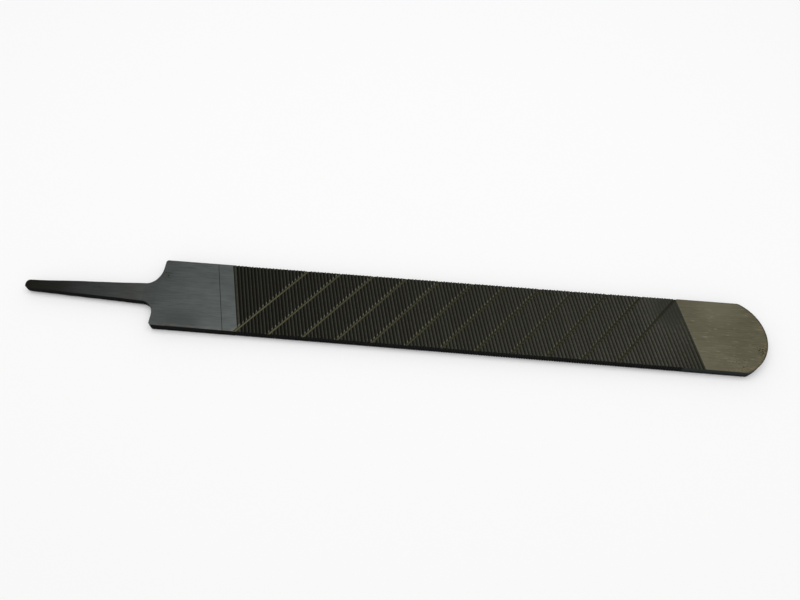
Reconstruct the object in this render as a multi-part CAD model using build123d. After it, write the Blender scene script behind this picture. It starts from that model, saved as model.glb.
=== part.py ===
from build123d import *
import math
import os

# Farrier's hoof rasp, forged, ground and toothed from one bar of carbon tool steel.
# Millimetres. +X runs along the bar from the tang to the round point, +Y across it,
# +Z up through the fine file side. The coarse rasp side lies underneath.

# --- driving dimensions -------------------------------------------------------

# Bar
body_length = 355.6          # shoulders to the crown of the point, a 14 inch rasp
body_width = 44.45           # 1 3/4 inch bar, the wide pattern
body_thickness = 5.5         # between the two ground faces
point_rise = 13.6            # how far the crown of the point stands out past its corners
point_corner_radius = 3.0    # where the crown meets the long edges
heel_corner_radius = 1.5     # outer corners of the shoulders
edge_break = 0.3             # chamfer round both ground faces and the tang

# Tang
tang_length = 80.6           # shoulders to the blunt end
tang_root_width = 12.0
tang_end_width = 5.5
tang_root_thickness = 4.6
tang_end_thickness = 4.0
tang_end_radius = 2.2        # plan corners of the blunt end
tang_root_offset = -0.7      # sideways, the tang is drawn slightly off the centre line
tang_end_offset = -1.1
shoulder_length = 8.5        # length of the sweep from tang to shoulder
shoulder_land = 6.0          # straight shoulder left between the sweep and the long edge
sweep_fullness = 0.55        # how far the sweep hugs its corner, 0.55 is near an ellipse

# File side: skewed rows of teeth, crossed by chip-breaker grooves
heel_flat = 46.6             # smooth heel, along the centre line
point_flat = 42.8            # smooth point, along the centre line
file_row_pitch = 2.112       # along the bar
file_row_skew = 14.7         # degrees that a row leans from square
file_tooth_depth = 0.55
file_first_depth = 0.2       # the row at each end of the field is cut shallow
file_crest_land = 0.3        # flat left on top of each row
file_gullet_land = 0.15      # flat at the bottom of each gullet
file_face_run = 0.25         # run of the steep cutting face
groove_pitch = 19.89         # along the bar
groove_angle = 50.8          # degrees between a groove and the long edges
groove_depth = 0.62          # a little deeper than the gullets, so its floor runs unbroken
groove_slope = 1.0           # run of the gentle wall, on the tang side
groove_floor = 0.9
groove_back = 0.25           # run of the steep wall, on the point side
first_groove = 22.3          # groove floor from the first row, along the centre line
scribe_setback = 8.7         # marking line, from the first row towards the tang
scribe_width = 0.3
scribe_depth = 0.12

# Toothed long edges
edge_tooth_pitch = 1.435
edge_tooth_depth = 0.3
edge_tooth_land = 0.45       # flat left between two notches
edge_plain_heel = 50.8       # plain edge at the heel end
edge_plain_point = 50.8      # plain edge at the point end

# Rasp side: single raised teeth in staggered rows, each with its punched pit
rasp_pitch_along = 4.6
rasp_pitch_across = 4.6
rasp_edge_margin = 3.4       # outermost tooth centre to the long edge, at least
rasp_tooth_width = 3.2
rasp_tooth_length = 2.3
rasp_tooth_height = 0.9
rasp_tooth_rake = 0.2        # overhang of the tip past the foot of the cutting face
rasp_tooth_root = 0.3        # how deep a tooth is rooted in the bar
rasp_pit_width = 2.8
rasp_pit_length = 1.5
rasp_pit_depth = 0.55
rasp_pit_gap = 0.1           # ledge between a tooth's foot and its pit

overcut = 1.0                # how far a cutter runs past what it cuts

# --- worked-out places --------------------------------------------------------

half_width = body_width / 2
under_face = rasp_tooth_height                     # the rasp rests on its tooth tips
file_face = under_face + body_thickness
mid_plane = under_face + body_thickness / 2
field_length = body_length - heel_flat - point_flat
row_lean = -math.tan(math.radians(file_row_skew))  # a row's shift in X per unit of Y
groove_lean = 1 / math.tan(math.radians(groove_angle))
centring = (tang_length - body_length) / 2         # moves the heel so that X = 0 is half way


def steps(first, last, pitch):
    """Evenly pitched places from first to at most last."""
    return [first + number * pitch for number in range(int((last - first) / pitch + 1e-6) + 1)]


# --- the bar ------------------------------------------------------------------

def long_side(sign):
    """One side of the plan, from the tang's end to the round point, and its key corners."""
    tang_end = Vector(-tang_length, tang_end_offset + sign * tang_end_width / 2)
    tang_root = Vector(-shoulder_length, tang_root_offset + sign * tang_root_width / 2)
    shoulder = Vector(0, sign * (half_width - shoulder_land))
    heel_corner = Vector(0, sign * half_width)
    point_corner = Vector(body_length - point_rise, sign * half_width)
    leave_tang = (tang_root - tang_end).normalized() * (sweep_fullness * shoulder_length)
    meet_shoulder = Vector(0, sweep_fullness * (shoulder.Y - tang_root.Y))
    lines = [
        Line(tang_end, tang_root),
        Bezier(tang_root, tang_root + leave_tang, shoulder - meet_shoulder, shoulder),
        Line(shoulder, heel_corner),
        Line(heel_corner, point_corner),
    ]
    return lines, tang_end, heel_corner, point_corner


def plan_outline():
    """Plan of the whole bar: tang, swept shoulders, straight edges and round point."""
    near, near_end, near_heel, near_point = long_side(-1)
    far, far_end, far_heel, far_point = long_side(1)
    crown = ThreePointArc(near_point, Vector(body_length, 0), far_point)
    outline = make_face([*near, crown, *far, Line(near_end, far_end)])
    rounded = [
        (near_point, far_point, point_corner_radius),
        (near_heel, far_heel, heel_corner_radius),
        (near_end, far_end, tang_end_radius),
    ]
    for one, other, radius in rounded:
        corners = [
            vertex
            for vertex in outline.vertices()
            if min((Vector(vertex) - one).length, (Vector(vertex) - other).length) < 0.01
        ]
        outline = fillet(corners, radius)
    return outline


def side_profile():
    """Profile along the bar: full thickness to the shoulders, then the drawn-down tang."""
    stations = [
        (body_length + overcut, body_thickness / 2),
        (0, body_thickness / 2),
        (-shoulder_length, tang_root_thickness / 2),
        (-tang_length - overcut, tang_end_thickness / 2),
    ]
    upper = [(x, 0, mid_plane + half) for x, half in stations]
    lower = [(x, 0, mid_plane - half) for x, half in reversed(stations)]
    return make_face(Polyline(*upper, *lower, close=True))


def blank():
    """The forged and ground bar before any tooth is cut."""
    bar = extrude(plan_outline(), file_face + overcut)
    bar = bar & extrude(side_profile(), half_width + overcut, both=True)
    flats = [face for face in bar.faces() if abs(face.normal_at().Z) > 0.9]
    creases = [edge for edge in bar.edges() if sum(edge in face.edges() for face in flats) == 2]
    rims = [edge for face in flats for edge in face.edges() if edge not in creases]
    return chamfer(rims, edge_break)


# --- cutters ------------------------------------------------------------------

def across(profile, lean):
    """Run an XZ profile right across the bar, shifted in X by lean per unit of Y."""
    reach = half_width + overcut
    start = Pos(-lean * reach, -reach, 0) * make_face(Polyline(*profile, close=True))
    return extrude(start, 2 * reach * math.hypot(1, lean), dir=(lean, 1, 0))


def gullet(depth):
    """Air behind one row of the file side, with the row's cutting edge at X = 0."""
    back_foot = file_face_run + file_gullet_land
    back_top = file_row_pitch - file_crest_land
    profile = [
        (0, 0, file_face + overcut),
        (0, 0, file_face),
        (file_face_run, 0, file_face - depth),
        (back_foot, 0, file_face - depth),
        (back_top, 0, file_face),
        (back_top, 0, file_face + overcut),
    ]
    return across(profile, row_lean)


def file_side_cutters():
    """All the skewed gullets; the first and the last are shallow."""
    full, shallow = gullet(file_tooth_depth), gullet(file_first_depth)
    places = steps(heel_flat, heel_flat + field_length - file_row_pitch, file_row_pitch)
    ends = (places[0], places[-1])
    return [Pos(x, 0, 0) * (shallow if x in ends else full) for x in places]


def chip_grooves():
    """Shallow diagonal grooves that break the rows, as many as the field holds."""
    widen = 1 / math.sin(math.radians(groove_angle))
    half_floor = groove_floor / 2 * widen
    tang_side = -half_floor - groove_slope * widen
    point_side = half_floor + groove_back * widen
    profile = [
        (tang_side, 0, file_face + overcut),
        (tang_side, 0, file_face),
        (-half_floor, 0, file_face - groove_depth),
        (half_floor, 0, file_face - groove_depth),
        (point_side, 0, file_face),
        (point_side, 0, file_face + overcut),
    ]
    groove = across(profile, groove_lean)
    last = heel_flat + field_length + half_width * (row_lean - groove_lean)
    return [Pos(x, 0, 0) * groove for x in steps(heel_flat + first_groove, last, groove_pitch)]


def scribed_line():
    """The fine line that marks where the teeth will start."""
    profile = [
        (-scribe_width, 0, file_face + scribe_depth),
        (0, 0, file_face - scribe_depth),
        (scribe_width, 0, file_face + scribe_depth),
    ]
    return Pos(heel_flat - scribe_setback, 0, 0) * across(profile, row_lean)


def edge_notches():
    """Notches square through both long edges, between the plain heel and point."""
    half_notch = (edge_tooth_pitch - edge_tooth_land) / 2
    notch = Polyline(
        (-half_notch, half_width + overcut),
        (-half_notch, half_width),
        (0, half_width - edge_tooth_depth),
        (half_notch, half_width),
        (half_notch, half_width + overcut),
        close=True,
    )
    far = extrude(make_face(notch), file_face + overcut)
    near = Rot(0, 0, 180) * far
    places = steps(edge_plain_heel, body_length - edge_plain_point, edge_tooth_pitch)
    return [Pos(x, 0, 0) * side for x in places for side in (near, far)]


# --- rasp side ----------------------------------------------------------------

def four_sided(apex, base):
    """Closed solid with three base corners and one apex."""
    flanks = [(apex, base[corner - 1], base[corner]) for corner in range(3)]
    return Solid(Shell([Face(Wire.make_polygon(corners)) for corners in [base, *flanks]]))


def raised_tooth():
    """One tooth on the rasp side's face, which is Z = 0 here, pointing down.

    Its cutting face looks along +X and its back runs out towards the tang. The same
    flanks run on upwards into the bar.
    """
    tip = Vector(rasp_tooth_rake, 0, -rasp_tooth_height)
    footing = (rasp_tooth_height + rasp_tooth_root) / rasp_tooth_height
    feet = [
        Vector(0, -rasp_tooth_width / 2, 0),
        Vector(0, rasp_tooth_width / 2, 0),
        Vector(-rasp_tooth_length, 0, 0),
    ]
    return four_sided(tip, [tip + (foot - tip) * footing for foot in feet])


def punched_pit():
    """The pit that the punch leaves in front of a tooth; the face is Z = 0 here."""
    bottom = Vector(rasp_pit_gap, 0, rasp_pit_depth)
    mouth = (rasp_pit_depth + overcut) / rasp_pit_depth
    rim = [
        Vector(rasp_pit_gap, -rasp_pit_width / 2, 0),
        Vector(rasp_pit_gap + rasp_pit_length, 0, 0),
        Vector(rasp_pit_gap, rasp_pit_width / 2, 0),
    ]
    return four_sided(bottom, [bottom + (corner - bottom) * mouth for corner in rim])


def rasp_places():
    """Staggered tooth places: full rows alternate with rows one tooth shorter."""
    outermost = half_width - rasp_edge_margin
    half_row = int(2 * outermost / rasp_pitch_across) * rasp_pitch_across / 2
    full_row = steps(-half_row, half_row, rasp_pitch_across)
    short_row = [y + rasp_pitch_across / 2 for y in full_row[:-1]]
    first = heel_flat + rasp_tooth_length
    rows = steps(first, heel_flat + field_length - rasp_pit_length, rasp_pitch_along)
    return [
        Pos(x, y, under_face)
        for number, x in enumerate(rows)
        for y in (short_row if number % 2 else full_row)
    ]


# --- the rasp -----------------------------------------------------------------

filed = blank().cut(*file_side_cutters(), *chip_grooves(), scribed_line(), *edge_notches())
pitted = filed.cut(*[place * punched_pit() for place in rasp_places()])
rasp = pitted.fuse(*[place * raised_tooth() for place in rasp_places()])

os.makedirs("parts", exist_ok=True)
export_step(Pos(centring, 0, 0) * rasp, "parts/rasp.step")
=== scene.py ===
import math
import random

import bmesh
import bpy
from mathutils import Matrix, Vector, noise


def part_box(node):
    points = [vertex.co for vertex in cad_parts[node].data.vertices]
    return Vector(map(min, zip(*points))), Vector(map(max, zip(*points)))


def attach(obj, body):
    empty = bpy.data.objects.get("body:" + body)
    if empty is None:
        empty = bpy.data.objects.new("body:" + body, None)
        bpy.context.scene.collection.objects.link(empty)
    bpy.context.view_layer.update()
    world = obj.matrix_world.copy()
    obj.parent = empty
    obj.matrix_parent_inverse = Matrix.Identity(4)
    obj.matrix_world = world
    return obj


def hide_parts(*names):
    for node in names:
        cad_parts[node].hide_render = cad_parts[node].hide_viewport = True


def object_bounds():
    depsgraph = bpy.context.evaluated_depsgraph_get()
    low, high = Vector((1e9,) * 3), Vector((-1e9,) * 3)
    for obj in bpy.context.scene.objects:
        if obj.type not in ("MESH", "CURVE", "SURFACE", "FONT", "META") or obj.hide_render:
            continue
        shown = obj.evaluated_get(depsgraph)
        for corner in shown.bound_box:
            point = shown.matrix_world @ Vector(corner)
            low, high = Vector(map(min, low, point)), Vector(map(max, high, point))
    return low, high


# A farrier's hoof rasp: one bar of carbon tool steel, forged to a tang at one end, ground flat,
# cut with skewed file teeth on top, notched along both edges and punched with raised rasp teeth
# underneath. It is made here in the maker's order: blank, then cuts, then raised teeth.
# Metres. +X runs from the tang to the round point, +Y across, +Z up through the file side.

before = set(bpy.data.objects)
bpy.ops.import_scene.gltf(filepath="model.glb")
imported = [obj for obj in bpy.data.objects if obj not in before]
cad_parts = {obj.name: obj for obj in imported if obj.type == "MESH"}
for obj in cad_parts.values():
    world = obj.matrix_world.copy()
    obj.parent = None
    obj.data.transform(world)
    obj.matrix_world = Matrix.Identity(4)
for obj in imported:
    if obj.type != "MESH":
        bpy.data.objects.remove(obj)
cad_low, cad_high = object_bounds()

MM = 0.001

# --- sizes --------------------------------------------------------------------

TANG_LENGTH = 80.6 * MM
TANG_ROOT_WIDTH = 12.0 * MM
TANG_END_WIDTH = 5.5 * MM
TANG_ROOT_THICKNESS = 4.6 * MM
TANG_END_THICKNESS = 4.0 * MM
TANG_ROOT_OFFSET = -0.7 * MM      # sideways, off the centre line
TANG_END_OFFSET = -1.1 * MM
TANG_END_RADIUS = 2.2 * MM
SWEEP_LENGTH = 8.5 * MM           # swept shoulder, along the bar
SHOULDER_LAND = 6.0 * MM          # straight shoulder outside the sweep
HEEL_CORNER_RADIUS = 1.5 * MM
POINT_RISE = 13.6 * MM            # crown of the point past its corners
POINT_CORNER_RADIUS = 3.0 * MM
POINT_CORNER_HALF_TURN = 0.235    # radians, half of the turn from a long edge onto the crown
BODY_RIM = 0.3 * MM               # rounding of the ground faces' rims
TANG_RIM = 0.7 * MM               # rounding that the hammer leaves along the tang

HEEL_FLAT = 46.6 * MM             # smooth heel, on the centre line
POINT_FLAT = 42.8 * MM            # smooth point, on the centre line
ROW_PITCH = 2.112 * MM
ROW_SKEW = math.radians(14.7)
GROOVE_PITCH = 19.89 * MM
GROOVE_ANGLE = math.radians(50.8)
GROOVE_DEPTH = 0.62 * MM
FIRST_GROOVE = 22.3 * MM
SCRIBE_SETBACK = 8.7 * MM
NOTCH_PITCH = 1.435 * MM
NOTCH_DEPTH = 0.3 * MM
NOTCH_LAND = 0.45 * MM
PLAIN_HEEL_EDGE = 50.8 * MM
PLAIN_POINT_EDGE = 50.8 * MM

LIGHT_ROWS = 14                   # rows at the point that fade towards the far edge
LIGHT_ROW_RISE = 0.38 * MM        # how much higher the last one's far end stands
FIRST_ROW_LIFT = 0.33             # mm by which the first row is struck lighter
ROW_WANDER = 0.03                 # mm by which a row's depth and place vary

RASP_PITCH = 4.6 * MM
RASP_EDGE_MARGIN = 3.4 * MM
RASP_TOOTH_WIDTH = 3.2 * MM
RASP_TOOTH_LENGTH = 2.3 * MM
RASP_TOOTH_HEIGHT = 0.9 * MM
RASP_TOOTH_RAKE = 0.2 * MM
RASP_PIT_WIDTH = 2.8 * MM
RASP_PIT_LENGTH = 1.5 * MM
RASP_PIT_DEPTH = 0.55 * MM
RASP_PIT_GAP = 0.1 * MM

OVERCUT = 1.0 * MM                # how far a cutter runs past what it cuts

# --- places, from the frame ---------------------------------------------------

low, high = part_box("rasp")
heel_x = low.x + TANG_LENGTH
half_width = (high.y - low.y) / 2
file_face = high.z
rasp_face = low.z + RASP_TOOTH_HEIGHT
mid_plane = (file_face + rasp_face) / 2
half_body = (file_face - rasp_face) / 2
sweep_reach = half_width - SHOULDER_LAND
first_row = heel_x + HEEL_FLAT
last_row = high.x - POINT_FLAT
row_lean = -math.tan(ROW_SKEW)
groove_lean = 1 / math.tan(GROOVE_ANGLE)
crown_radius = (half_width**2 + POINT_RISE**2) / (2 * POINT_RISE)

# Material slots of the rasp, in order.
GROUND, LAND, GULLET, BREAK, GROOVE, EDGE, NOTCH, TOOTH = range(8)

# Both sources of chance start from a fixed seed, so every run makes the same rasp.
dice = random.Random(14)
noise.seed_set(14)


def steps(first, last, pitch):
    """Evenly pitched places from first to at most last."""
    return [first + number * pitch for number in range(int((last - first) / pitch + 1e-6) + 1)]


def blend(a, b, share):
    return a + (b - a) * min(max(share, 0.0), 1.0)


# --- finishes -----------------------------------------------------------------

def colour(code):
    """An sRGB hex value as linear RGBA."""
    parts = [int(code[i:i + 2], 16) / 255 for i in (1, 3, 5)]
    return (*[p / 12.92 if p <= 0.04045 else ((p + 0.055) / 1.055) ** 2.4 for p in parts], 1.0)


def add(tree, kind, inputs, out=0, **settings):
    """Add a node with its settings and links, and give back one of its outputs."""
    node = tree.nodes.new(kind)
    for name, value in settings.items():
        setattr(node, name, value)
    for name, value in inputs.items():
        if isinstance(value, bpy.types.NodeSocket):
            tree.links.new(value, node.inputs[name])
        else:
            node.inputs[name].default_value = value
    return node.outputs[out]


def new_finish(name, roughness, metallic):
    """A material with its shader and the piece's own coordinates."""
    material = bpy.data.materials.new(name)
    material.use_nodes = True
    tree = material.node_tree
    shader = tree.nodes["Principled BSDF"]
    shader.inputs["Roughness"].default_value = roughness
    shader.inputs["Metallic"].default_value = metallic
    return material, tree, shader, add(tree, "ShaderNodeTexCoord", {}, "Object")


def grain(tree, place, size, detail=2.0):
    """Noise whose lumps are size long on each axis, in metres."""
    spread = add(tree, "ShaderNodeMapping", {"Vector": place, "Scale": tuple(1 / s for s in size)})
    return add(tree, "ShaderNodeTexNoise", {
        "Vector": spread, "Scale": 1.0, "Detail": detail, "Roughness": 0.55,
    })


def varied(tree, tint, pattern, swing):
    """The colour made darker and lighter by a pattern, by up to swing each way."""
    gain = add(tree, "ShaderNodeMapRange", {
        "Value": pattern, "From Min": 0.3, "From Max": 0.7,
        "To Min": 1 - swing, "To Max": 1 + swing,
    })
    return add(tree, "ShaderNodeVectorMath", {0: tint, "Scale": gain}, operation="SCALE")


def stained(tree, tint, code, pattern, start, full, most=1.0):
    """The colour turned to another as a pattern goes from start to full, by most at most."""
    share = add(tree, "ShaderNodeMapRange", {
        "Value": pattern, "From Min": start, "From Max": full, "To Max": most,
    })
    return add(tree, "ShaderNodeMix", {0: share, 6: tint, 7: colour(code)}, 2, data_type="RGBA")


def along_bar(tree, place, stops):
    """Colour along the bar: stops are (X in metres, hex), the first and last of them first."""
    share = add(tree, "ShaderNodeMapRange", {
        "Value": add(tree, "ShaderNodeSeparateXYZ", {0: place}, "X"),
        "From Min": low.x, "From Max": high.x,
    })
    tint = add(tree, "ShaderNodeValToRGB", {0: share})
    elements = tint.node.color_ramp.elements
    for number, (x, code) in enumerate(stops):
        position = (x - low.x) / (high.x - low.x)
        stop = elements[number] if number < 2 else elements.new(position)
        stop.position, stop.color = position, colour(code)
    return tint


def spot(tree, place, centre, reach, most=1.0):
    """The value most near that point, falling to 0 at reach."""
    moved = add(tree, "ShaderNodeMapping", {"Vector": place, "Location": tuple(-c for c in centre)})
    away = add(tree, "ShaderNodeVectorMath", {0: moved}, "Value", operation="LENGTH")
    return add(tree, "ShaderNodeMapRange", {
        "Value": away, "From Min": reach, "From Max": 0.4 * reach, "To Max": most,
    })


def ground_steel():
    # Tool steel ground lengthwise on a belt and left bare: cool grey at the heel, yellowed by
    # old oil at the point, blackened scale on the drawn-out tang. Fine streaks run lengthwise,
    # and rust has started at the far shoulder and round the crown. A belt's scratches are
    # about 0.1 mm wide; they are drawn five times as wide so that they show.
    material, tree, shader, place = new_finish("ground_tool_steel", 0.42, 1.0)
    tint = along_bar(tree, place, [
        (low.x, "#1d1c17"), (high.x, "#5c5948"), (low.x + 12 * MM, "#22221f"),
        (low.x + 22 * MM, "#272725"), (low.x + 38 * MM, "#363737"), (low.x + 52 * MM, "#393c3b"),
        (low.x + 64 * MM, "#41423f"), (heel_x, "#474b4a"),
        (heel_x + 20 * MM, "#505453"), (first_row, "#525756"), (last_row, "#5e5b4b"),
    ])
    streaks = grain(tree, place, (9 * MM, 0.55 * MM, 0.55 * MM), 4.0)
    flecks = grain(tree, place, (5 * MM, 0.9 * MM, 0.9 * MM), 1.0)
    clouds = grain(tree, place, (14 * MM, 6 * MM, 6 * MM))
    freckles = grain(tree, place, (1.1 * MM, 0.8 * MM, 0.8 * MM))
    tint = varied(tree, tint, streaks, 0.16)
    tint = varied(tree, tint, clouds, 0.08)
    # Bright flecks where the grinding at the point bit deeper.
    at_point = add(tree, "ShaderNodeMapRange", {
        "Value": add(tree, "ShaderNodeSeparateXYZ", {0: place}, "X"),
        "From Min": first_row, "From Max": last_row, "To Max": 0.4,
    })
    tint = stained(tree, tint, "#8c8672", flecks, 0.64, 0.74, at_point)
    # Handling has darkened the heel along its near rim.
    handled = spot(tree, place, (heel_x + 18 * MM, -22 * MM, file_face), 17 * MM, 0.6)
    tint = stained(tree, tint, "#3a3e3d", clouds, 0.2, 0.4, handled)
    # Rust: freckles at the shoulder, short tan streaks round the crown, dark pits at its rims.
    shoulder = spot(tree, place, (heel_x + 2.5 * MM, 12 * MM, file_face), 4.5 * MM)
    tint = stained(tree, tint, "#2b2b1c", freckles, 0.52, 0.6, shoulder)
    from_centre = add(tree, "ShaderNodeMapping", {
        "Vector": place, "Location": (crown_radius - high.x, 0, 0), "Scale": (1, 1, 0),
    })
    ahead = add(
        tree, "ShaderNodeVectorMath", {0: from_centre, 1: (0, -1, 0)}, operation="MAXIMUM",
    )
    out = add(tree, "ShaderNodeVectorMath", {0: ahead}, "Value", operation="LENGTH")
    at_crown = add(tree, "ShaderNodeMapRange", {
        "Value": out, "From Min": crown_radius - 5 * MM, "From Max": crown_radius - 2 * MM,
        "To Max": 0.55,
    })
    tint = stained(tree, tint, "#7d6a50", flecks, 0.52, 0.64, at_crown)
    tint = stained(
        tree, tint, "#2c2c20", out, crown_radius - 1.2 * MM, crown_radius - 0.2 * MM, 0.55,
    )
    pitted = spot(tree, place, (high.x - 4 * MM, -8 * MM, file_face), 4 * MM)
    tint = stained(tree, tint, "#33291a", freckles, 0.5, 0.6, pitted)
    # The far rim of the point is rubbed brighter.
    rubbed = spot(tree, place, (high.x - 26 * MM, 21 * MM, file_face), 16 * MM, 0.6)
    tint = stained(tree, tint, "#6e6b59", clouds, 0.2, 0.4, rubbed)
    rusty_rim = spot(tree, place, (high.x - 19 * MM, -20 * MM, file_face), 9 * MM)
    tint = stained(tree, tint, "#3a3020", freckles, 0.6, 0.66, rusty_rim)
    tree.links.new(tint, shader.inputs["Base Color"])
    roughness = add(tree, "ShaderNodeMapRange", {
        "Value": streaks, "From Min": 0.3, "From Max": 0.7, "To Min": 0.36, "To Max": 0.48,
    })
    tree.links.new(roughness, shader.inputs["Roughness"])
    bump = add(tree, "ShaderNodeBump", {"Height": streaks, "Distance": 0.008 * MM})
    tree.links.new(bump, shader.inputs["Normal"])
    return material


def cut_steel(name, colours, depths, roughness, metallic, gains):
    """Hardened steel: one colour at each of two depths, and a gain at stops along the bar."""
    material, tree, shader, place = new_finish(name, roughness, metallic)
    z = add(tree, "ShaderNodeSeparateXYZ", {0: place}, "Z")
    deep, shallow = (file_face - depth for depth in depths)
    tint = stained(tree, colour(colours[0]), colours[1], z, deep, shallow)
    speckle = grain(tree, place, (1.6 * MM, 1.0 * MM, 1.0 * MM))
    tint = varied(tree, tint, speckle, 0.18)
    tint = add(tree, "ShaderNodeVectorMath", {
        0: tint, 1: along_bar(tree, place, gains),
    }, operation="MULTIPLY")
    # Oil has dried dark in the lightly struck rows at the far side of the point.
    dried = spot(tree, place, (last_row - 11 * MM, 15 * MM, file_face), 15 * MM, 0.75)
    tint = stained(tree, tint, "#2c2d26", speckle, 0.0, 0.3, dried)
    tree.links.new(tint, shader.inputs["Base Color"])
    return material


# The teeth are darker towards the heel and lighter towards the point.
DARKER_TOWARDS_HEEL = [
    (first_row, "#cecec9"), (last_row, "#dededa"), (first_row + 90 * MM, "#ecece8"),
    (last_row - 20 * MM, "#ffffff"),
]
EVEN = [(first_row, "#ffffff"), (last_row, "#ffffff")]
# The edges keep the black of hardening. They are painted much darker along the heel and middle as
# painted shade, and reach full brightness only at the point, past the teeth, where they turn slate
# grey.
EDGES = [
    (heel_x, "#4a4a47"), (high.x, "#ffffff"), (heel_x + 60 * MM, "#50504c"),
    (heel_x + 150 * MM, "#9a9a94"), (high.x - 51 * MM, "#9a9a94"), (high.x - 49 * MM, "#ffffff"),
]
# Groove floors carry painted light: lighter near the heel, darker towards the point.
GROOVE_FLOOR_PAINTED_LIGHT = [
    (first_row, "#f1f1ec"), (last_row, "#95958e"), (first_row + 60 * MM, "#d0d0cb"),
    (first_row + 150 * MM, "#9b9b94"),
]
THICKNESS = file_face - rasp_face

FINISHES = [
    ground_steel(),
    # Crests left by the file chisel: bare hardened steel, painted a little lighter than the cuts as
    # light on the crests.
    cut_steel("tooth_land_steel", ("#44443d", "#484841"), (0.1 * MM, 0), 0.45, 1.0, DARKER_TOWARDS_HEEL),
    # Chiselled walls: painted light near the crest and painted shade towards the bottom, darker
    # with depth.
    cut_steel("gullet_painted_shade", ("#17160f", "#3e3e37"), (0.5 * MM, 0.05 * MM), 0.5, 0.9, DARKER_TOWARDS_HEEL),
    # Crest ends broken by the groove cutter: facets painted lighter towards the crest as a painted
    # highlight.
    cut_steel("broken_crest_painted_highlight", ("#44443f", "#6e6e66"), (0.3 * MM, 0), 0.4, 1.0, DARKER_TOWARDS_HEEL),
    # Milled groove floors: olive grey, with painted light that makes them lighter near the heel.
    cut_steel("groove_steel_painted_light", ("#595843", "#595843"), (0.6 * MM, 0.1 * MM), 0.45, 1.0, GROOVE_FLOOR_PAINTED_LIGHT),
    # Long edges: rough black scale from hardening, with no metal bare, painted darker towards the
    # bottom as shade near the floor.
    cut_steel("edge_scale_painted_shade", ("#161a19", "#2e3432"), (THICKNESS, 0), 0.85, 0.0, EDGES),
    # Edge notches: the same scale, painted darker as shade in the notches.
    cut_steel("notch_scale_painted_shade", ("#040404", "#0a0a09"), (THICKNESS, 0), 0.85, 0.0, EVEN),
    # Punched rasp teeth: scale in the pits, tips rubbed bare.
    cut_steel("rasp_tooth_steel", ("#4a4a45", "#26261f"), (file_face - low.z, THICKNESS),
              0.45, 1.0, EVEN),
]
# Scale is a rough oxide that shines far less than bare steel.
for number in (EDGE, NOTCH):
    shader = FINISHES[number].node_tree.nodes["Principled BSDF"]
    shader.inputs["Specular IOR Level"].default_value = 0.1

# --- blank --------------------------------------------------------------------

def arc(bm, start, turn, segments):
    """Spin one vertex round the Z axis; returns the arc's vertices in order."""
    first = len(bm.verts)
    tip = bm.verts.new(start)
    bmesh.ops.spin(bm, geom=[tip], axis=(0, 0, 1), cent=(0, 0, 0), angle=turn, steps=segments)
    bm.verts.ensure_lookup_table()
    return bm.verts[first:]


def sweep(bm, side):
    """Quarter ellipse from the tang's root out to a shoulder."""
    root_y = TANG_ROOT_OFFSET + side * TANG_ROOT_WIDTH / 2
    reach = side * sweep_reach - root_y
    points = arc(bm, (0, -side, 0), side * math.pi / 2, 14)
    bmesh.ops.scale(bm, vec=(SWEEP_LENGTH, abs(reach), 1), verts=points)
    bmesh.ops.translate(bm, vec=(heel_x - SWEEP_LENGTH, side * sweep_reach, 0), verts=points)
    return points


def crown(bm):
    """Round point, from the near corner to the far one."""
    half_turn = math.asin(half_width / crown_radius)
    points = arc(bm, (math.cos(half_turn), -math.sin(half_turn), 0), 2 * half_turn, 72)
    bmesh.ops.scale(bm, vec=(crown_radius, crown_radius, 1), verts=points)
    bmesh.ops.translate(bm, vec=(high.x - crown_radius, 0, 0), verts=points)
    return points


def plan_face(bm):
    """The bar's plan as one face, at the underside of the bar."""
    near, far, point = sweep(bm, -1), sweep(bm, 1), crown(bm)
    ends = [
        bm.verts.new((low.x, TANG_END_OFFSET + side * TANG_END_WIDTH / 2, 0)) for side in (1, -1)
    ]
    corners = [bm.verts.new((heel_x, side * half_width, 0)) for side in (-1, 1)]
    loop = [ends[1], *near, corners[0], *point, corners[1], *reversed(far), ends[0]]
    plan = bm.faces.new(loop)
    bmesh.ops.translate(bm, vec=(0, 0, rasp_face), verts=loop)
    return plan


def round_corners(bm):
    """Round the upright corners of the plan, each to its own radius."""
    wanted = [
        (low.x, TANG_END_RADIUS, 6),
        (heel_x, HEEL_CORNER_RADIUS, 6),
        (high.x - POINT_RISE, POINT_CORNER_RADIUS * math.tan(POINT_CORNER_HALF_TURN), 4),
    ]
    for x, offset, segments in wanted:
        upright = [
            edge
            for edge in bm.edges
            if abs(edge.verts[0].co.z - edge.verts[1].co.z) > half_body
            and abs(edge.verts[0].co.x - x) < 0.01 * MM
            and (x == low.x or abs(abs(edge.verts[0].co.y) - half_width) < 0.01 * MM)
        ]
        bmesh.ops.bevel(
            bm, geom=upright, offset=offset, offset_type="OFFSET", segments=segments,
            profile=0.5, affect="EDGES", material=-1,
        )


def draw_down_tang(bm):
    """Cut the tang into short lengths and draw it down from full thickness to its end."""
    spacing = 2.4 * MM
    root_x = heel_x - SWEEP_LENGTH
    for x in [*steps(low.x + 2 * MM, root_x, spacing), root_x, heel_x]:
        everything = [*bm.verts, *bm.edges, *bm.faces]
        bmesh.ops.bisect_plane(
            bm, geom=everything, dist=1e-7, plane_co=(x, 0, 0), plane_no=(1, 0, 0),
        )
    for vert in bm.verts:
        before_heel = heel_x - vert.co.x
        if before_heel <= 0:
            continue
        along_tang = (before_heel - SWEEP_LENGTH) / (TANG_LENGTH - SWEEP_LENGTH)
        if along_tang > 0:
            half = blend(TANG_ROOT_THICKNESS, TANG_END_THICKNESS, along_tang) / 2
        else:
            half = blend(half_body, TANG_ROOT_THICKNESS / 2, before_heel / SWEEP_LENGTH)
        vert.co.z = mid_plane + math.copysign(half, vert.co.z - mid_plane)


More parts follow.
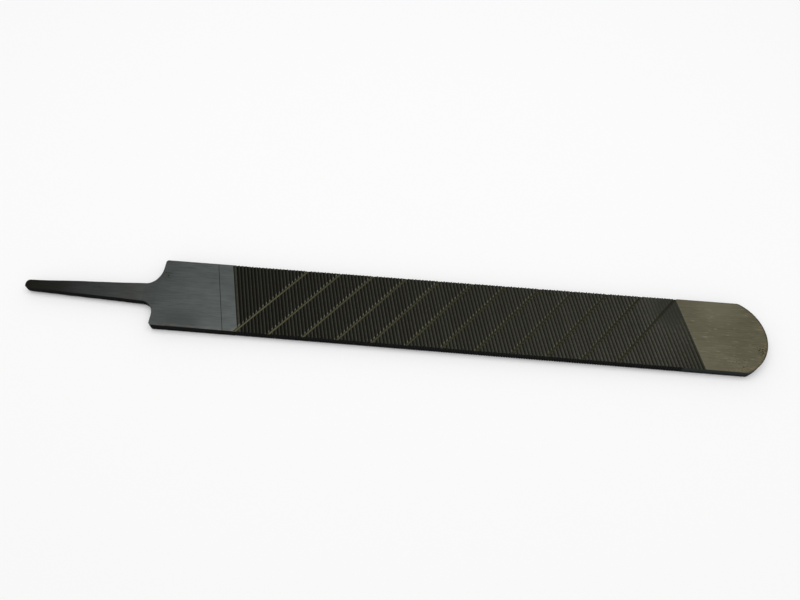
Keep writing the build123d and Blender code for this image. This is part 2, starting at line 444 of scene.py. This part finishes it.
def round_rims(bm):
    """Round the long rims: finely on the ground body, broadly on the hammered tang."""
    weights = bm.edges.layers.float.new("bevel_weight_edge")
    for edge in bm.edges:
        tilts = [abs(face.normal.z) for face in edge.link_faces]
        if max(tilts) > 0.7 and min(tilts) < 0.5:
            middle = (edge.verts[0].co.x + edge.verts[1].co.x) / 2
            share = (heel_x - middle) / SWEEP_LENGTH
            edge[weights] = blend(BODY_RIM, TANG_RIM, share) / TANG_RIM


def hammer_tang(mesh):
    """Slight unevenness that forging leaves in the tang, fading out towards the heel."""
    for vert in mesh.vertices:
        away = (heel_x - SWEEP_LENGTH - vert.co.x) / (20 * MM)
        if away > 0:
            wave = noise.noise_vector(vert.co / (9 * MM)) * 0.16 * MM
            wave += noise.noise_vector(vert.co / (3 * MM)) * 0.05 * MM
            vert.co += Vector((0, wave.y, wave.z)) * min(away, 1.0)


def finished_mesh(piece):
    """The piece's mesh with its modifiers applied."""
    bpy.context.view_layer.update()
    depsgraph = bpy.context.evaluated_depsgraph_get()
    return bpy.data.meshes.new_from_object(piece.evaluated_get(depsgraph))


def as_object(bm, name, materials):
    mesh = bpy.data.meshes.new(name)
    for material in materials:
        mesh.materials.append(material)
    bm.to_mesh(mesh)
    bm.free()
    piece = bpy.data.objects.new(name, mesh)
    bpy.context.scene.collection.objects.link(piece)
    return piece


def blank():
    """The forged and ground bar before any tooth is cut."""
    bm = bmesh.new()
    plan = plan_face(bm)
    grown = bmesh.ops.extrude_face_region(bm, geom=[plan])["geom"]
    top = [item for item in grown if isinstance(item, bmesh.types.BMVert)]
    bmesh.ops.translate(bm, vec=(0, 0, 2 * half_body), verts=top)
    bmesh.ops.recalc_face_normals(bm, faces=bm.faces)
    round_corners(bm)
    draw_down_tang(bm)
    bm.normal_update()
    round_rims(bm)
    bar = as_object(bm, "rasp_bar", FINISHES)
    rims = bar.modifiers.new("rims", "BEVEL")
    rims.width = TANG_RIM
    rims.segments = 4
    rims.limit_method = "WEIGHT"
    bar.data = finished_mesh(bar)
    bar.modifiers.clear()
    hammer_tang(bar.data)
    return bar


# --- cutters ------------------------------------------------------------------

def run_across(bm, profile, lean, slot, rise=0.0):
    """A closed bar of that XZ profile right across the rasp, leaning by lean in X per unit Y.

    Its far end stands rise higher than its near end.
    """
    reach = half_width + OVERCUT
    corners = [bm.verts.new((x - lean * reach, -reach, z)) for x, z in profile]
    section = bm.faces.new(corners)
    grown = bmesh.ops.extrude_face_region(bm, geom=[section])["geom"]
    far = [item for item in grown if isinstance(item, bmesh.types.BMVert)]
    bmesh.ops.translate(bm, vec=(2 * lean * reach, 2 * reach, rise), verts=far)
    for face in {face for vert in [*corners, *far] for face in vert.link_faces}:
        face.material_index = slot


def repeat(bm, pattern, moves):
    """Copies of everything in the pattern at each move; the pattern itself goes."""
    geometry = [*pattern.verts, *pattern.edges, *pattern.faces]
    seed = bpy.data.meshes.new("seed")
    pattern.to_mesh(seed)
    pattern.free()
    for move in moves:
        before = len(bm.verts)
        bm.from_mesh(seed)
        bm.verts.ensure_lookup_table()
        bmesh.ops.transform(bm, matrix=move, verts=bm.verts[before:])
    bpy.data.meshes.remove(seed)


def gullets():
    """Every gullet of the file side, each a little unlike the next, as struck by a chisel.

    The last ones are struck lighter towards the far edge, and the first one all along.
    """
    profile = [
        (-0.05, 1.0), (-0.05, 0.0), (0.00, -0.05), (0.18, -0.44), (0.26, -0.53), (0.38, -0.57),
        (0.52, -0.54), (0.80, -0.43), (1.73, -0.04), (1.82, 0.0), (1.82, 1.0),
    ]
    bm = bmesh.new()
    places = steps(first_row, last_row - ROW_PITCH, ROW_PITCH)
    for number, x in enumerate(places):
        lift = dice.uniform(-ROW_WANDER, ROW_WANDER)
        shift = dice.uniform(-ROW_WANDER, ROW_WANDER)
        if number == 0:
            lift = FIRST_ROW_LIFT
        moved = [
            (x + (across + shift) * MM, file_face + (up + lift * (up < 0)) * MM)
            for across, up in profile
        ]
        lighter = (number - len(places) + LIGHT_ROWS) / LIGHT_ROWS
        run_across(bm, moved, row_lean, GULLET, rise=blend(0, LIGHT_ROW_RISE, lighter))
    return bm


def across_grooves(profile, slot):
    """A bar of that profile for every diagonal groove; across is square to the groove."""
    widen = 1 / math.sin(GROOVE_ANGLE)
    bm = bmesh.new()
    last = last_row + half_width * (row_lean - groove_lean)
    for x in steps(first_row + FIRST_GROOVE, last, GROOVE_PITCH):
        moved = [(x + across * widen * MM, file_face + up * MM) for across, up in profile]
        run_across(bm, moved, groove_lean, slot)
    return bm


def broken_crests():
    """The slant that each groove leaves on the crest ends on its tang side."""
    return across_grooves([(-1.45, 1.0), (-1.45, 0.0), (-0.6, -0.30), (-0.4, 1.0)], BREAK)


def chip_grooves():
    """Diagonal grooves, with a flat floor a little deeper than the gullets."""
    depth = GROOVE_DEPTH / MM
    return across_grooves([
        (-0.65, 1.0), (-0.65, -0.1), (-0.50, 0.08 - depth), (-0.40, -depth), (0.40, -depth),
        (0.50, 0.08 - depth), (0.70, 0.0), (0.70, 1.0),
    ], GROOVE)


def scribed_line():
    bm = bmesh.new()
    x = first_row - SCRIBE_SETBACK
    profile = [(-0.3, 0.12), (-0.06, -0.11), (0.06, -0.11), (0.3, 0.12)]
    moved = [(x + across * MM, file_face + up * MM) for across, up in profile]
    run_across(bm, moved, row_lean, GULLET)
    return bm


def edge_notches():
    """Upright notches along both long edges."""
    half = (NOTCH_PITCH - NOTCH_LAND) / 2
    outline = [
        (-half, OVERCUT), (-half, 0), (-0.10 * MM, 0.05 * MM - NOTCH_DEPTH), (0, -NOTCH_DEPTH),
        (0.10 * MM, 0.05 * MM - NOTCH_DEPTH), (half, 0), (half, OVERCUT),
    ]
    bm = bmesh.new()
    for side in (-1, 1):
        for x in steps(heel_x + PLAIN_HEEL_EDGE, high.x - PLAIN_POINT_EDGE, NOTCH_PITCH):
            corners = [
                bm.verts.new((x + across, side * (half_width + out), rasp_face - OVERCUT))
                for across, out in outline
            ]
            section = bm.faces.new(corners)
            grown = bmesh.ops.extrude_face_region(bm, geom=[section])["geom"]
            top = [item for item in grown if isinstance(item, bmesh.types.BMVert)]
            bmesh.ops.translate(bm, vec=(0, 0, 2 * (half_body + OVERCUT)), verts=top)
    for face in bm.faces:
        face.material_index = NOTCH
    return bm


# --- rasp side ----------------------------------------------------------------

def rasp_places():
    """Staggered places: full rows alternate with rows one tooth shorter."""
    outermost = half_width - RASP_EDGE_MARGIN
    half_row = int(2 * outermost / RASP_PITCH) * RASP_PITCH / 2
    full_row = steps(-half_row, half_row, RASP_PITCH)
    short_row = [y + RASP_PITCH / 2 for y in full_row[:-1]]
    rows = steps(first_row + RASP_TOOTH_LENGTH, last_row - RASP_PIT_LENGTH, RASP_PITCH)
    return [
        (x, y) for number, x in enumerate(rows) for y in (short_row if number % 2 else full_row)
    ]


def half_cone(width, length, height, slot):
    """Half of a cone with its flat side on X = 0, its tip at +height and its back towards -X.

    The cone's base lies at Z = 0, width wide across the flat side and length deep.
    """
    bm = bmesh.new()
    bmesh.ops.create_cone(
        bm, cap_ends=True, cap_tris=False, segments=16, radius1=1.0, radius2=0.06, depth=1.0,
    )
    bmesh.ops.translate(bm, vec=(0, 0, 0.5), verts=bm.verts)
    everything = [*bm.verts, *bm.edges, *bm.faces]
    cut = bmesh.ops.bisect_plane(
        bm, geom=everything, dist=1e-6, plane_co=(0, 0, 0), plane_no=(1, 0, 0), clear_outer=True,
    )
    rim = [item for item in cut["geom_cut"] if isinstance(item, bmesh.types.BMEdge)]
    bmesh.ops.edgeloop_fill(bm, edges=rim)
    bmesh.ops.scale(bm, vec=(length, width / 2, height), verts=bm.verts)
    bmesh.ops.recalc_face_normals(bm, faces=bm.faces)
    for face in bm.faces:
        face.material_index = slot
    return bm


def pits():
    """Punched pits: half cones let into the rasp side, flat side against the tooth."""
    depth = RASP_PIT_DEPTH + OVERCUT
    grow = depth / RASP_PIT_DEPTH
    bm = bmesh.new()
    pattern = half_cone(RASP_PIT_WIDTH * grow, RASP_PIT_LENGTH * grow, depth, TOOTH)
    turn = Matrix.Translation((RASP_PIT_GAP, 0, -OVERCUT)) @ Matrix.Rotation(math.pi, 4, "Z")
    bmesh.ops.transform(pattern, matrix=turn, verts=pattern.verts)
    repeat(bm, pattern, [Matrix.Translation((x, y, rasp_face)) for x, y in rasp_places()])
    return bm


def raised_teeth():
    """Raised teeth: half cones standing down from the rasp side, leaning over their pits."""
    root = 0.3 * MM
    height = RASP_TOOTH_HEIGHT + root
    grow = height / RASP_TOOTH_HEIGHT
    pattern = half_cone(RASP_TOOTH_WIDTH * grow, RASP_TOOTH_LENGTH * grow, height, TOOTH)
    lean = Matrix.Identity(4)
    lean[0][2] = RASP_TOOTH_RAKE / RASP_TOOTH_HEIGHT
    shift = Matrix.Translation((-root * lean[0][2], 0, root))
    flip = Matrix.Scale(-1, 4, (0, 0, 1))
    bmesh.ops.transform(pattern, matrix=shift @ flip @ lean, verts=pattern.verts)
    bmesh.ops.reverse_faces(pattern, faces=pattern.faces)
    bm = bmesh.new()
    repeat(bm, pattern, [Matrix.Translation((x, y, rasp_face)) for x, y in rasp_places()])
    return bm


# --- cutting ------------------------------------------------------------------

def work(bar, bm, operation):
    """Cut the shapes in bm out of the bar, or join them to it."""
    bmesh.ops.recalc_face_normals(bm, faces=bm.faces)
    tool = as_object(bm, "tool", FINISHES)
    step = bar.modifiers.new("step", "BOOLEAN")
    step.operation = operation
    step.solver = "MANIFOLD"
    step.object = tool
    bar.data = finished_mesh(bar)
    bar.modifiers.clear()
    bpy.data.objects.remove(tool)


def name_faces(bar):
    """Give the plain faces of the bar their finish: lands between the gullets, and the edges."""
    for face in bar.data.polygons:
        x, y, z = face.center
        cut = first_row < x + y * math.tan(ROW_SKEW) < last_row
        if face.material_index != GROUND:
            continue
        if abs(face.normal.z) < 0.4:
            face.material_index = EDGE
        elif z > mid_plane and cut:
            face.material_index = LAND


def make_rasp():
    bar = blank()
    for cutter in (gullets, broken_crests, chip_grooves, scribed_line, edge_notches, pits):
        work(bar, cutter(), "DIFFERENCE")
    work(bar, raised_teeth(), "UNION")
    name_faces(bar)
    return bar


rasp = make_rasp()

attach(rasp, "root")
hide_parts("rasp")

# --- floor, light and camera ----------------------------------------------------

bm = bmesh.new()
bmesh.ops.create_grid(bm, x_segments=1, y_segments=1, size=3.0)
bmesh.ops.translate(bm, vec=(0, 0, cad_low.z), verts=bm.verts)
# Smooth matt studio board: nearly white, and whiter still where the camera sees it directly.
pale, tree, shader, _ = new_finish("studio_board", 0.9, 0.0)
shader.inputs["Base Color"].default_value = colour("#f6f6f6")
shader.inputs["Emission Color"].default_value = (1, 1, 1, 1)
seen = add(tree, "ShaderNodeLightPath", {}, "Is Camera Ray")
lift = add(tree, "ShaderNodeMath", {0: seen, 1: 0.12}, operation="MULTIPLY")
tree.links.new(lift, shader.inputs["Emission Strength"])
floor = as_object(bm, "floor", [pale])

middle = (low + high) / 2


def soft_box(name, power, width, depth, place):
    lamp = bpy.data.lights.new(name, "AREA")
    lamp.energy = power
    lamp.shape = "RECTANGLE"
    lamp.size = width
    lamp.size_y = depth
    box = bpy.data.objects.new(name, lamp)
    box.location = middle + Vector(place)
    box.rotation_euler = Vector(place).to_track_quat("Z", "Y").to_euler()
    bpy.context.scene.collection.objects.link(box)


soft_box("overhead", 7.5, 1.8, 0.7, (0.0, 0.15, 1.2))

world = bpy.data.worlds.new("studio")
world.use_nodes = True
world.node_tree.nodes["Background"].inputs["Color"].default_value = (1, 1, 1, 1)
world.node_tree.nodes["Background"].inputs["Strength"].default_value = 0.55
bpy.context.scene.world = world
bpy.context.scene.view_settings.view_transform = "Standard"

azimuth, elevation, distance = math.radians(5.14), math.radians(60.17), 415.3 * MM
aim = Vector((middle.x + 6.5 * MM, middle.y + 7.0 * MM, high.z))
back = Vector((
    math.sin(azimuth) * math.cos(elevation), -math.cos(azimuth) * math.cos(elevation),
    math.sin(elevation),
))
camera = bpy.data.objects.new("camera", bpy.data.cameras.new("camera"))
camera.data.lens = 31.68
camera.data.sensor_width = 36.0
camera.location = aim + back * distance
camera.rotation_euler = (-back).to_track_quat("-Z", "Y").to_euler()
bpy.context.scene.collection.objects.link(camera)
bpy.context.scene.camera = camera
